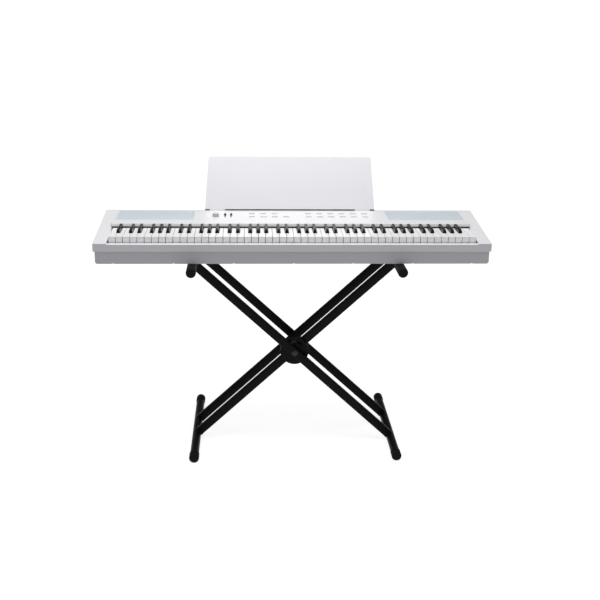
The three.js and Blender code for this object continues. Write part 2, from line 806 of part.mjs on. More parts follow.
const board = block(
  -boardSize[0] / 2,
  boardSize[0] / 2,
  panelBack(boardBack) - boardSize[1] / 2,
  panelBack(boardBack) + boardSize[1] / 2,
  -boardDrop - boardSize[2],
  -boardDrop,
);
piece(panel, "main_board", board, finish.board);

// ---- Music rest ------------------------------------------------------------------------------
// A leaning plate with rounded top corners and two tabs that stand in the slot at the panel's back.
function musicRest() {
  const shape = new THREE.Shape();
  const bottom = restBottomWidth / 2;
  const top = restTopWidth / 2;
  const slope = Math.atan2(bottom - top, restHeight - restLift);
  const arcZ = restHeight - restCorner;
  const tabs = [restTabAcross, -restTabAcross];
  shape.moveTo(-bottom, restLift);
  for (const middle of tabs.slice().reverse()) {
    shape.lineTo(middle - restTabWidth / 2, restLift);
    shape.lineTo(middle - restTabWidth / 2, -restTabDepth);
    shape.lineTo(middle + restTabWidth / 2, -restTabDepth);
    shape.lineTo(middle + restTabWidth / 2, restLift);
  }
  shape.lineTo(bottom, restLift);
  shape.absarc(top - restCorner, arcZ, restCorner, slope, Math.PI / 2);
  shape.absarc(-top + restCorner, arcZ, restCorner, Math.PI / 2, Math.PI - slope);
  return prismY(shape, -restThickness / 2, restThickness / 2);
}
const restZ = panelFrontZ + panelBack(restSlotBack) * Math.tan(panelTilt);
const rest = piece(piano, "music_rest", musicRest(), finish.shell);
rest.position.set(0, restSlotBack, restZ);
rest.rotation.set(-restLean, 0, 0);

export default piano_on_stand;
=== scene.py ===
"""Looks of the digital piano on its folding stand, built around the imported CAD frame."""
import json
import math

import bmesh
import bpy
from mathutils import Matrix, Vector


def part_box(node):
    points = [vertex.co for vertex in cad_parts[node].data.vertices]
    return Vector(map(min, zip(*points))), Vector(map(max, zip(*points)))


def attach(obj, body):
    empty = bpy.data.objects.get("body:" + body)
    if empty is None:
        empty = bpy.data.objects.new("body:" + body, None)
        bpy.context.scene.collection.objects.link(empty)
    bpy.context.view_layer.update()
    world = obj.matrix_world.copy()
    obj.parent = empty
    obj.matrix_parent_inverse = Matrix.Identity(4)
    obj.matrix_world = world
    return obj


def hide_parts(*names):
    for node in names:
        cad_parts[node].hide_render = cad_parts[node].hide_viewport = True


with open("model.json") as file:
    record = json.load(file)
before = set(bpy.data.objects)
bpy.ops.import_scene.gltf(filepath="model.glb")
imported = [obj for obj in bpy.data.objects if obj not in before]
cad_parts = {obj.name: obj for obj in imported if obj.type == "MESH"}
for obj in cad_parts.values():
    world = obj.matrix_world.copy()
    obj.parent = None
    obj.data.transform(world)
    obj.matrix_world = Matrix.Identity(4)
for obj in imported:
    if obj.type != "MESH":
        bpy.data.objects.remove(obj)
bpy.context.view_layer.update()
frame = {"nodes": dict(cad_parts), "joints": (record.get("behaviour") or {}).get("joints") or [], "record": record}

MM = 0.001
scene = bpy.context.scene
nodes = frame["nodes"]
body_of = {n: body for body, members in frame["record"]["behaviour"]["bodies"].items() for n in members}
slot_of = {row["node"]: row["material_slot"] for row in frame["record"]["subparts"]}


# ---- Camera, floor and lights ----------------------------------------------------------------
CAMERA_PLACE = (-0.1458, -3.2835, 1.5373)
CAMERA_YAW = 0.0538  # radians, towards +X
CAMERA_PITCH = 0.3052  # radians, downwards
CAMERA_ROLL = 0.0134
CAMERA_LENS = 58.35
FAR_CLIP = 6000.0  # past the floor's edge
FLOOR_HALF = 2000.0
FLOOR_GLOW = 0.86  # lit from beneath, as a light table is
AMBIENT = 0.2
SUN_POWER = 2.0
SUN_SPREAD = 70.0  # degrees
SUN_TILT = 6.0  # degrees from straight overhead, towards the front
SOFTBOX_POWER = 16.3
SOFTBOX_SIZE = (1.4, 1.0)
SOFTBOX_PLACE = (-0.15, -0.15, 2.3)


def make_camera():
    data = bpy.data.cameras.new("camera")
    data.lens = CAMERA_LENS
    data.sensor_width = 36.0
    data.clip_end = FAR_CLIP
    camera = bpy.data.objects.new("camera", data)
    scene.collection.objects.link(camera)
    forward = Vector((
        math.sin(CAMERA_YAW) * math.cos(CAMERA_PITCH),
        math.cos(CAMERA_YAW) * math.cos(CAMERA_PITCH),
        -math.sin(CAMERA_PITCH),
    ))
    right = Vector((math.cos(CAMERA_YAW), -math.sin(CAMERA_YAW), 0.0))
    up = right.cross(forward)
    rolled_right = math.cos(CAMERA_ROLL) * right + math.sin(CAMERA_ROLL) * up
    rolled_up = math.cos(CAMERA_ROLL) * up - math.sin(CAMERA_ROLL) * right
    turn = Matrix((rolled_right, rolled_up, -forward)).transposed()
    camera.matrix_world = Matrix.Translation(CAMERA_PLACE) @ turn.to_4x4()
    scene.camera = camera


def make_floor():
    mesh = bpy.data.meshes.new("floor")
    half = FLOOR_HALF
    corners = [(-half, -half, 0), (half, -half, 0), (half, half, 0), (-half, half, 0)]
    mesh.from_pydata(corners, [], [(0, 1, 2, 3)])
    floor = bpy.data.objects.new("floor", mesh)
    scene.collection.objects.link(floor)
    material = bpy.data.materials.new("floor")
    material.use_nodes = True
    shader = material.node_tree.nodes["Principled BSDF"]
    shader.inputs["Base Color"].default_value = (0.25, 0.25, 0.25, 1)
    shader.inputs["Roughness"].default_value = 0.9
    shader.inputs["Specular IOR Level"].default_value = 0.1
    shader.inputs["Emission Color"].default_value = (1, 1, 1, 1)
    shader.inputs["Emission Strength"].default_value = FLOOR_GLOW
    mesh.materials.append(material)


def make_lights():
    world = bpy.data.worlds.new("studio")
    world.use_nodes = True
    background = world.node_tree.nodes["Background"]
    background.inputs["Color"].default_value = (0.98, 0.98, 1.0, 1)
    background.inputs["Strength"].default_value = AMBIENT
    seen = world.node_tree.nodes.new("ShaderNodeBackground")  # the white beyond the floor's edge
    seen.inputs["Color"].default_value = (1, 1, 1, 1)
    seen.inputs["Strength"].default_value = 1.0
    path = world.node_tree.nodes.new("ShaderNodeLightPath")
    choice = world.node_tree.nodes.new("ShaderNodeMixShader")
    links = world.node_tree.links
    links.new(path.outputs["Is Camera Ray"], choice.inputs["Fac"])
    links.new(background.outputs["Background"], choice.inputs[1])
    links.new(seen.outputs["Background"], choice.inputs[2])
    links.new(choice.outputs["Shader"], world.node_tree.nodes["World Output"].inputs["Surface"])
    scene.world = world
    sun = bpy.data.lights.new("daylight", "SUN")
    sun.energy = SUN_POWER
    sun.angle = math.radians(SUN_SPREAD)
    panel = bpy.data.lights.new("softbox", "AREA")
    panel.shape = "RECTANGLE"
    panel.size, panel.size_y = SOFTBOX_SIZE
    panel.energy = SOFTBOX_POWER
    for data, place in ((sun, (0, 0, 3)), (panel, SOFTBOX_PLACE)):
        light = bpy.data.objects.new(data.name, data)
        scene.collection.objects.link(light)
        light.location = place
        light.rotation_euler = (math.radians(SUN_TILT), 0, 0)
    scene.view_settings.view_transform = "Standard"


# ---- Materials -------------------------------------------------------------------------------
RAMP_SPAN = (0.3, 0.7)  # where a noise pattern's low and high ends are taken
GRAIN_STRENGTH = 0.5
GRAIN_DETAIL = 3.0
PATCH_SCALE = 9.0
PATCH_DETAIL = 4.0


def principled(name, color, roughness, metallic=0.0, specular=0.5):
    material = bpy.data.materials.new(name)
    material.use_nodes = True
    shader = material.node_tree.nodes["Principled BSDF"]
    shader.inputs["Base Color"].default_value = (*color, 1)
    shader.inputs["Roughness"].default_value = roughness
    shader.inputs["Metallic"].default_value = metallic
    shader.inputs["Specular IOR Level"].default_value = specular
    return material


def noise(material, scale, detail):
    tree = material.node_tree
    coordinates = tree.nodes.new("ShaderNodeTexCoord")
    texture = tree.nodes.new("ShaderNodeTexNoise")
    texture.inputs["Scale"].default_value = scale
    texture.inputs["Detail"].default_value = detail
    tree.links.new(coordinates.outputs["Object"], texture.inputs["Vector"])
    return texture.outputs["Fac"]


def add_bump(material, height, strength, distance):
    tree = material.node_tree
    bump = tree.nodes.new("ShaderNodeBump")
    bump.inputs["Strength"].default_value = strength
    bump.inputs["Distance"].default_value = distance
    tree.links.new(height, bump.inputs["Height"])
    tree.links.new(bump.outputs["Normal"], tree.nodes["Principled BSDF"].inputs["Normal"])


def ramp(material, source, low, high, socket):
    """Drives a socket from a pattern, between two values or colours."""
    tree = material.node_tree
    node = tree.nodes.new("ShaderNodeValToRGB")
    for element, value, at in zip(node.color_ramp.elements, (low, high), RAMP_SPAN):
        element.position = at
        element.color = (value, value, value, 1) if isinstance(value, float) else (*value, 1)
    tree.links.new(source, node.inputs["Fac"])
    tree.links.new(node.outputs["Color"], tree.nodes["Principled BSDF"].inputs[socket])


def grained(name, color, roughness, grain=900.0, depth=0.00004, spread=0.05, tint=0.02, **extra):
    """Moulded plastic or paint: a fine grain in the surface, with soft patches of sheen and tint."""
    material = principled(name, color, roughness, **extra)
    add_bump(material, noise(material, grain, GRAIN_DETAIL), GRAIN_STRENGTH, depth)
    patches = noise(material, PATCH_SCALE, PATCH_DETAIL)
    ramp(material, patches, roughness - spread, roughness + spread, "Roughness")
    darker = tuple(c * (1 - tint) for c in color)
    ramp(material, patches, darker, color, "Base Color")
    return material


LOOKS = {
    "shell_white": dict(color=(0.65, 0.65, 0.665), roughness=0.36, tint=0.004, spread=0.02),
    # The lower case is the shell's white plastic darkened: painted shade on its front, which faces away from the
    # overhead light.
    "case_underside": dict(color=(0.33, 0.325, 0.35), roughness=0.45, grain=700, depth=0.00008),
    "white_key": dict(color=(0.76, 0.76, 0.757), roughness=0.2, grain=60, depth=0.00001, spread=0.02,
                      tint=0.004, specular=0.35),
    "black_key": dict(color=(0.003, 0.003, 0.004), roughness=0.2, grain=400, depth=0.00001,
                      spread=0.04, specular=0.12),
    "grille_mesh": dict(color=(0.58, 0.64, 0.69), roughness=0.42, grain=1500, depth=0.00003),
    "control_grey": dict(color=(0.5, 0.5, 0.52), roughness=0.38),
    "slider_dark": dict(color=(0.035, 0.035, 0.04), roughness=0.4),
    "rest_plastic": dict(color=(0.81, 0.81, 0.84), roughness=0.34, tint=0.004, spread=0.02),
    "frame_black": dict(color=(0.003, 0.003, 0.004), roughness=0.45, grain=1400, depth=0.0001,
                        spread=0.06, tint=0.2, specular=0.08),
    "rubber_black": dict(color=(0.006, 0.006, 0.007), roughness=0.62, grain=800, depth=0.0001,
                         tint=0.15, specular=0.08),
    "bolt_steel": dict(color=(0.03, 0.03, 0.032), roughness=0.4, metallic=0.4, grain=1200,
                       specular=0.2),
    "chassis_steel": dict(color=(0.5, 0.51, 0.53), roughness=0.4, metallic=0.9),
    "circuit_board": dict(color=(0.02, 0.16, 0.07), roughness=0.35),
    "speaker_black": dict(color=(0.02, 0.02, 0.022), roughness=0.7),
    # The fallboard face's white is the shell's white plastic made brighter: painted light on its leaning face.
    "fallboard_lit_white": dict(color=(0.82, 0.82, 0.835), roughness=0.36, tint=0.004, spread=0.02),
    # The front strip's grey is the shell's white plastic darkened: painted shade on the upper case's front face.
    "front_shade_grey": dict(color=(0.42, 0.415, 0.44), roughness=0.4, grain=1100),
    "knob_grey": dict(color=(0.5, 0.5, 0.515), roughness=0.34),
    "grille_cloth": dict(color=(0.03, 0.035, 0.04), roughness=0.95, grain=3000, depth=0.0002,
                         tint=0.3, specular=0.1),
    "felt": dict(color=(0.01, 0.01, 0.012), roughness=0.95, grain=2500, depth=0.0004, tint=0.5,
                 specular=0.1),
}


# ---- Mesh helpers ----------------------------------------------------------------------------
def rounded_corners(points, radius, steps=4):
    """An outline with each of its corners turned into an arc of up to this radius."""
    made = []
    count = len(points)
    for i, point in enumerate(points):
        here = Vector(point)
        before = Vector(points[i - 1]) - here
        after = Vector(points[(i + 1) % count]) - here
        half = before.angle(after) / 2
        run = min(radius / math.tan(half), before.length / 2, after.length / 2)
        start = here + before.normalized() * run
        end = here + after.normalized() * run
        middle_off = (before.normalized() + after.normalized()).normalized()
        centre = here + middle_off * (run / math.cos(half))
        first = start - centre
        turn = (end - centre).angle_signed(first)
        for k in range(steps + 1):
            angle = turn * k / steps
            c, s = math.cos(angle), math.sin(angle)
            spoke = Vector((first.x * c - first.y * s, first.x * s + first.y * c))
            made.append(tuple(centre + spoke))
    return made


def rounded_rectangle(width, height, radius, steps=4):
    x, y = width / 2, height / 2
    return rounded_corners([(-x, -y), (x, -y), (x, y), (-x, y)], radius, steps)


def loft(bm, loops):
    """Skins a row of loops of the same number of points, and caps the first and the last."""
    rings = [[bm.verts.new(p) for p in loop] for loop in loops]
    for low, high in zip(rings, rings[1:]):
        for i in range(len(low)):
            j = (i + 1) % len(low)
            bm.faces.new((low[i], low[j], high[j], high[i]))
    bm.faces.new(list(reversed(rings[0])))
    bm.faces.new(rings[-1])


def prism(bm, outline, z0, z1, place=Matrix.Identity(4)):
    loft(bm, [[place @ Vector((x, y, z)) for x, y in outline] for z in (z0, z1)])


def cushion_block(bm, width, depth, corner, z0, z1, edge, place, corner_share):
    """A rounded block whose top edge is rolled over by a small radius. Its corners lose this share
    of each inset."""
    levels = [(0.0, z0)]
    steps = 3
    for i in range(steps + 1):
        angle = math.pi / 2 * i / steps
        levels.append((edge * (1 - math.cos(angle)), z1 - edge * (1 - math.sin(angle))))
    loops = []
    for inset, z in levels:
        outline = rounded_rectangle(width - 2 * inset, depth - 2 * inset, corner - inset * corner_share)
        loops.append([place @ Vector((x, y, z)) for x, y in outline])
    loft(bm, loops)


def lathe(bm, profile, segments, place=Matrix.Identity(4)):
    """A solid turned round Z from [radius, height] points that start and end on the axis."""
    rings = []
    for radius, height in profile:
        if radius < 1e-7:
            rings.append([bm.verts.new(place @ Vector((0, 0, height)))])
            continue
        ring = []
        for i in range(segments):
            angle = 2 * math.pi * i / segments
            point = Vector((radius * math.cos(angle), radius * math.sin(angle), height))
            ring.append(bm.verts.new(place @ point))
        rings.append(ring)
    for low, high in zip(rings, rings[1:]):
        for i in range(segments):
            j = (i + 1) % segments
            if len(low) == 1:
                bm.faces.new((low[0], high[j], high[i]))
            elif len(high) == 1:
                bm.faces.new((low[i], low[j], high[0]))
            else:
                bm.faces.new((low[i], low[j], high[j], high[i]))


def block(bm, low, high, place=Matrix.Identity(4)):
    (x0, y0, z0), (x1, y1, z1) = low, high
    prism(bm, [(x0, y0), (x1, y0), (x1, y1), (x0, y1)], z0, z1, place)


def finish_piece(name, bm, body, material, replaced=(), sharp=35.0, bevel=None):
    bmesh.ops.recalc_face_normals(bm, faces=bm.faces)
    mesh = bpy.data.meshes.new(name)
    bm.to_mesh(mesh)
    bm.free()
    mesh.shade_smooth()
    mesh.set_sharp_from_angle(angle=math.radians(sharp))
    piece = bpy.data.objects.new(name, mesh)
    scene.collection.objects.link(piece)
    mesh.materials.append(material)
    if bevel:
        width, segments = bevel
        modifier = piece.modifiers.new("edges", "BEVEL")
        modifier.width = width
        modifier.segments = segments
        modifier.limit_method = "ANGLE"
        modifier.angle_limit = math.radians(40)
        modifier.harden_normals = True
    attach(piece, body)
    for node in replaced:
        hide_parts(node)
    return piece


def dress_node(name, materials):
    """Gives a CAD node its material."""
    node = nodes[name]
    node.data.materials.clear()
    node.data.materials.append(materials[slot_of[name]])


SHELL_EDGE = 1.2 * MM


def soften_node(name, width):
    """Rounds a shown CAD node's edges."""
    node = nodes[name]
    weld = node.modifiers.new("weld", "WELD")
    weld.merge_threshold = 0.02 * MM
    planar = node.modifiers.new("planar", "DECIMATE")
    planar.decimate_type = "DISSOLVE"
    planar.angle_limit = math.radians(0.5)
    edges = node.modifiers.new("edges", "BEVEL")
    edges.width = width
    edges.segments = 3
    edges.limit_method = "ANGLE"
    edges.angle_limit = math.radians(30)


# ---- Keyboard --------------------------------------------------------------------------------
WHITE_COUNT = 52
WHITE_GAP = 1.0 * MM
WHITE_HEAD = 49.0 * MM  # in front of the black keys
BLACK_SLOT = 13.7 * MM
BLACK_BASE = 12.2 * MM
BLACK_CROWN = 9.4 * MM
BLACK_RISE = 12.0 * MM
BLACK_SINK = 13.0 * MM  # sides, below the white key tops
BLACK_NOSE = [(0.0, 2.2), (0.5, 3.6), (1.6, 5.8), (3.2, 8.4), (5.0, 10.4), (7.0, 11.4), (9.5, 11.9),
              (13.0, 12.0)]  # run and rise in mm
TAIL_LOW = 8.5 * MM  # underside of the black keys' tails, below the white key tops
TAIL_HEIGHT = 7.0 * MM
KEY_PLATE = 2.2 * MM  # thickness of a white key's top plate
WHITE_NAMES = "cdefgab"
FELT_REACH = 18.0 * MM  # in front of the fallboard
FELT_TOP = 1.3 * MM  # above the white keys
SINGLE_OCTAVE = 4


def keyboard_layout():
    """The white keys and the black slots, by octave and step, with their left edges."""
    low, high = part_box("white_keys")
    pitch = (high.x - low.x + WHITE_GAP) / WHITE_COUNT
    left = low.x - WHITE_GAP / 2
    slots = {}
    for first, count in ((0, 3), (3, 4)):
        tail = (count * pitch - (count - 1) * BLACK_SLOT) / count
        for i in range(count - 1):
            slots[first + i] = first * pitch + (i + 1) * tail + i * BLACK_SLOT
    whites, blacks = [], []
    for i in range(WHITE_COUNT):
        step = (i + 5) % 7
        octave = (i + 5) // 7
        whites.append((octave, step, left + i * pitch))
        if step in slots and i < WHITE_COUNT - 1:
            blacks.append((octave, step, left + (i - step) * pitch + slots[step]))
    return pitch, whites, blacks


pitch, white_keys, black_keys = keyboard_layout()
keys_low, keys_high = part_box("white_keys")
key_top = keys_high.z
fallboard_low, fallboard_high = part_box("fallboard")


def white_outline(left, front, back, inset=0.0):
    x0 = left + WHITE_GAP / 2 + inset
    x1 = left + pitch - WHITE_GAP / 2 - inset
    head = keys_low.y + WHITE_HEAD - inset
    points = [(x0, front), (x1, front)]
    right = [b for _, _, b in black_keys if b < x1 < b + BLACK_SLOT]
    leftward = [b + BLACK_SLOT for _, _, b in black_keys if b < x0 < b + BLACK_SLOT]
    if right:
        points += [(x1, head), (right[0] - inset, head), (right[0] - inset, back)]
    else:
        points.append((x1, back))
    if leftward:
        points += [(leftward[0] + inset, back), (leftward[0] + inset, head), (x0, head)]
    else:
        points.append((x0, back))
    return points


def add_white_key(bm, left, back):
    """A thick top plate that stands a little proud of the key's body."""
    lip = 2.0 * MM
    front = keys_low.y
    prism(bm, white_outline(left, front, back), key_top - KEY_PLATE, key_top)
    body = white_outline(left, front + lip, back - lip, 0.35 * MM)
    prism(bm, body, keys_low.z, key_top - KEY_PLATE)


def black_section(middle, y, rise):
    """A cross section of a black key at y: straight sides drawn in, and rounded shoulders."""
    base, crown = BLACK_BASE / 2, BLACK_CROWN / 2
    half = base - (base - crown) * rise / BLACK_RISE
    radius = min(2.2 * MM, rise * 0.6 + 0.1 * MM)
    top = key_top + rise
    points = [(-base, key_top - BLACK_SINK), (base, key_top - BLACK_SINK), (base, key_top - 0.2 * MM)]
    steps = 5
    for side in (1, -1):
        for k in range(steps + 1):
            angle = math.pi / 2 * (k if side == 1 else steps - k) / steps
            x = side * (half - radius + radius * math.cos(angle))
            points.append((x, top - radius + radius * math.sin(angle)))
    points.append((-base, key_top - 0.2 * MM))
    return [Vector((middle + x, y, z)) for x, z in points]


def add_black_key(bm, left, back):
    middle = left + BLACK_SLOT / 2
    front = keys_low.y + WHITE_HEAD + 1.0 * MM
    cap_back = fallboard_low.y - 1.5 * MM
    stations = [(front + run * MM, rise * MM) for run, rise in BLACK_NOSE]
    stations += [(cap_back - 1.2 * MM, BLACK_RISE), (cap_back, BLACK_RISE - 0.8 * MM)]
    loft(bm, [black_section(middle, y, rise) for y, rise in stations])
    low = key_top - TAIL_LOW
    half = BLACK_BASE / 2 - 0.2 * MM
    block(bm, (middle - half, cap_back - 20 * MM, low), (middle + half, back, low + TAIL_HEIGHT))


def make_keys():
    bevel = (0.7 * MM, 2)
    white_bank, black_bank = bmesh.new(), bmesh.new()
    for octave, step, left in white_keys:
        name = f"key_{WHITE_NAMES[step]}{octave}"
        if octave == SINGLE_OCTAVE:
            bm = bmesh.new()
            add_white_key(bm, left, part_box(name)[1].y)
            finish_piece(name + "_cap", bm, name, materials["white_key"], [name],
                         bevel=bevel)
        else:
            add_white_key(white_bank, left, keys_high.y - 9 * MM)
    rail_front = keys_high.y - 10 * MM
    half = keys_high.x
    block(white_bank, (-half, rail_front, keys_low.z), (half, keys_high.y, key_top - 11 * MM))
    finish_piece("white_key_caps", white_bank, "white_key_bank", materials["white_key"],
                 ["white_keys"], bevel=bevel)
    for octave, step, left in black_keys:
        name = f"key_{WHITE_NAMES[step]}{octave}_sharp"
        if octave == SINGLE_OCTAVE:
            bm = bmesh.new()
            add_black_key(bm, left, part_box(name)[1].y)
            finish_piece(name + "_cap", bm, name, materials["black_key"], [name])
        else:
            add_black_key(black_bank, left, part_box("black_keys")[1].y)
    low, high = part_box("black_keys")
    rail_low = key_top - TAIL_LOW
    block(black_bank, (low.x, high.y - 8 * MM, rail_low), (high.x, high.y, rail_low + TAIL_HEIGHT))
    finish_piece("black_key_caps", black_bank, "black_key_bank", materials["black_key"],
                 ["black_keys"])


def make_fallboard():
    """The strip between keys and panel: a leaning front face, rounded over at its top and its foot."""
    low, high = fallboard_low, fallboard_high
    depth = high.y - low.y
    foot = key_top + FELT_TOP
    section = [
        (0.0, foot - 0.5 * MM), (0.0, foot), (0.2 * MM, foot + 0.5 * MM),
        (depth - 0.9 * MM, high.z - 0.9 * MM), (depth - 0.6 * MM, high.z - 0.4 * MM), (depth, high.z),
        (depth, foot - 0.5 * MM),
    ]
    bm = bmesh.new()
    loft(bm, [[Vector((x, low.y + y, z)) for y, z in section] for x in (low.x, high.x)])
    # Brighter white than the shell: painted light on the leaning face.
    finish_piece("fallboard_face", bm, "piano", materials["fallboard_lit_white"],
                 ["fallboard"])


def make_felt():
    """The felt strip under the fallboard, cut out round each black key."""
    bm = bmesh.new()
    low, high = fallboard_low, fallboard_high
    z0, z1 = key_top + 0.4 * MM, key_top + FELT_TOP
    front = low.y - FELT_REACH
    edges = [low.x]
    for _, _, left in black_keys:
        edges += [left - 0.3 * MM, left + BLACK_SLOT + 0.3 * MM]
    edges.append(high.x)
    for x0, x1 in zip(edges[::2], edges[1::2]):
        block(bm, (x0, front, z0), (x1, low.y + 1 * MM, z1))
    block(bm, (low.x, low.y - 1 * MM, z0), (high.x, high.y, z1))
    finish_piece("key_felt", bm, "piano", materials["felt"])


# ---- Panel -----------------------------------------------------------------------------------
def joint(name):
    return next(j for j in frame["joints"] if j["name"] == name)


volume_joint = joint("volume_turn")
panel_tilt = math.atan2(-volume_joint["axis"][1], volume_joint["axis"][2])
panel_place = Matrix.Translation(volume_joint["pos_m"]) @ Matrix.Rotation(panel_tilt, 4, "X")
to_panel = panel_place.inverted()


def on_panel(x, y, z=0.0):
    return panel_place @ Matrix.Translation((x, y, z))


def panel_box(node):
    """A node's box in the panel's own frame: its middle, its size, and its low and high corners."""
    points = [to_panel @ v.co for v in nodes[node].data.vertices]
    low = Vector(min(p[i] for p in points) for i in range(3))
    high = Vector(max(p[i] for p in points) for i in range(3))
    return (low + high) / 2, high - low, low, high


def make_buttons():
    for name in nodes:
        if not name.startswith("button_"):
            continue
        middle, size, low, high = panel_box(name)
        flange = 1.0 * MM
        width, depth = size.x - 2 * flange, size.y - 2 * flange
        bm = bmesh.new()
        cushion_block(bm, width, depth, 1.6 * MM, low.z + flange, high.z, 0.7 * MM,
                      on_panel(middle.x, middle.y), 1 / 2)
        block(bm, (-size.x / 2, -size.y / 2, low.z), (size.x / 2, size.y / 2, low.z + 1.2 * MM),
              on_panel(middle.x, middle.y))
        finish_piece(name + "_cap", bm, body_of[name], materials["control_grey"], [name])


def make_volume_knob():
    low, high = panel_box("volume_knob")[2:]
    radius = (high.x - low.x) / 2
    height = high.z
    flutes = 40
    bm = bmesh.new()
    profile = [
        (0, low.z), (3 * MM, low.z), (3 * MM, 0.6 * MM), (radius, 0.6 * MM), (radius, 2.2 * MM),
        (radius * 0.93, 2.8 * MM), (radius * 0.9, height - 1.6 * MM), (radius * 0.86, height - 0.5 * MM),
        (radius * 0.8, height), (radius * 0.3, height - 0.4 * MM), (0, height - 0.4 * MM),
    ]
    lathe(bm, profile, flutes * 4)
    for vertex in bm.verts:
        run = math.hypot(vertex.co.x, vertex.co.y)
        if run > radius * 0.84 and vertex.co.z > 2.5 * MM:
            angle = math.atan2(vertex.co.y, vertex.co.x)
            shrink = 1 - 0.022 * (1 + math.cos(angle * flutes))
            vertex.co.x *= shrink
            vertex.co.y *= shrink
    bmesh.ops.transform(bm, matrix=panel_place, verts=bm.verts)
    finish_piece("volume_knob_body", bm, "volume_knob", materials["knob_grey"],
                 ["volume_knob"], sharp=28)
    # A lighter disc on the knob's top: a painted highlight where the overhead light falls.
    bm = bmesh.new()
    profile = [
        (0, height - 0.42 * MM), (radius * 0.3, height - 0.42 * MM), (radius * 0.78, height - 0.05 * MM),
        (radius * 0.8, height - 0.3 * MM), (0, height - 0.8 * MM),
    ]
    lathe(bm, profile, 64, panel_place)
    finish_piece("volume_knob_cap", bm, "volume_knob", materials["rest_plastic"])
    bm = bmesh.new()
    block(bm, (-0.5 * MM, radius * 0.35, height - 0.6 * MM), (0.5 * MM, radius * 0.78, height),
          panel_place)
    finish_piece("volume_knob_pointer", bm, "volume_knob", materials["slider_dark"])


def make_sliders():
    for i in (1, 2):
        name = f"slider_{i}"
        middle, size, low, high = panel_box(name)
        place = on_panel(middle.x, middle.y)
        bm = bmesh.new()
        cushion_block(bm, size.x, size.y, 1.2 * MM, 0.6 * MM, high.z - 1.2 * MM, 0.8 * MM, place, 1 / 3)
        for ridge in (-2, -1, 0, 1, 2):
            y = ridge * 2.2 * MM
            height = high.z if ridge == 0 else high.z - 0.7 * MM
            across = size.x * 0.42
            block(bm, (-across, y - 0.5 * MM, high.z - 2.5 * MM), (across, y + 0.5 * MM, height), place)
        block(bm, (-1.1 * MM, -4 * MM, low.z), (1.1 * MM, 4 * MM, 1.2 * MM), place)
        finish_piece(name + "_cap", bm, name, materials["slider_dark"], [name])
        bm = bmesh.new()
        slot_half, half = 30 * MM, 3.3 * MM
        for side in (-1, 1):
            x0, x1 = sorted((side * 1.6 * MM, side * half))
            block(bm, (x0, -slot_half - 2 * MM, 0), (x1, slot_half + 2 * MM, 0.35 * MM), place)
            y0, y1 = sorted((side * slot_half, side * (slot_half + 2 * MM)))
            block(bm, (-1.7 * MM, y0, 0), (1.7 * MM, y1, 0.35 * MM), place)
        block(bm, (-1.6 * MM, -slot_half, -4.2 * MM), (-1.2 * MM, slot_half, 0), place)
        block(bm, (1.2 * MM, -slot_half, -4.2 * MM), (1.6 * MM, slot_half, 0), place)
        finish_piece(name + "_bezel", bm, "piano", materials["knob_grey"])


def make_grilles():
    """Punched sheet: hexagonal cells, each with a hexagonal hole, inside a plain border."""
    cell = 5.6 * MM  # between hole middles
    hole = 1.75 * MM
    border = 4.0 * MM
    for name in ("grille_left", "grille_right"):
        middle, size, low, high = panel_box(name)
        place = on_panel(middle.x, middle.y)
        bm = bmesh.new()
        corner = cell / math.sqrt(3)
        half_x, half_y = size.x / 2 - border, size.y / 2 - border
        seen = {}

        def vertex(x, y):
            key = (round(x * 1e6), round(y * 1e6))
            if key not in seen:
                seen[key] = bm.verts.new(place @ Vector((x, y, high.z)))
            return seen[key]

        rows = int(half_y / (cell * math.sqrt(3) / 2)) + 1
        columns = int(half_x / cell) + 1
        for row in range(-rows, rows + 1):
            for column in range(-columns, columns + 1):
                x = column * cell + (cell / 2 if row % 2 else 0)
                y = row * cell * math.sqrt(3) / 2
                if abs(x) > half_x or abs(y) > half_y:
                    continue
                angles = [math.radians(30 + 60 * k) for k in range(6)]
                outer = [vertex(x + corner * math.cos(a), y + corner * math.sin(a)) for a in angles]
                rim = [Vector((x + hole * math.cos(a), y + hole * math.sin(a), high.z)) for a in angles]
                inner = [bm.verts.new(place @ point) for point in rim]
                for k in range(6):
                    j = (k + 1) % 6
                    bm.faces.new((outer[k], outer[j], inner[j], inner[k]))
        sheet = finish_piece(name + "_mesh", bm, "piano", materials["grille_mesh"],
                             [name])
        thick = sheet.modifiers.new("sheet", "SOLIDIFY")
        thick.thickness = 0.9 * MM
        thick.offset = -1
        bm = bmesh.new()
        ring = rounded_rectangle(size.x, size.y, 3 * MM)
        inner_ring = rounded_rectangle(size.x - 2 * border, size.y - 2 * border, 1.5 * MM)
        top, under, soft = high.z + 0.25 * MM, high.z - 1.2 * MM, 0.4 * MM
        outset = rounded_rectangle(size.x - 2 * soft, size.y - 2 * soft, 2.6 * MM)
        inset = rounded_rectangle(size.x - 2 * (border - soft), size.y - 2 * (border - soft), 1.9 * MM)
        levels = [(ring, under), (ring, top - soft), (outset, top), (inset, top),
                  (inner_ring, top - soft), (inner_ring, under)]
        loops = [[bm.verts.new(place @ Vector((x, y, z))) for x, y in outline] for outline, z in levels]
        for a, b in zip(loops, loops[1:] + loops[:1]):
            for k in range(len(a)):
                j = (k + 1) % len(a)
                bm.faces.new((a[k], a[j], b[j], b[k]))
        finish_piece(name + "_border", bm, "piano", materials["grille_mesh"])
        bm = bmesh.new()
        block(bm, (-size.x / 2 + 1 * MM, -size.y / 2 + 1 * MM, low.z - 0.15 * MM),
              (size.x / 2 - 1 * MM, size.y / 2 - 1 * MM, low.z + 0.1 * MM), place)
        finish_piece(name + "_cloth", bm, "piano", materials["grille_cloth"])


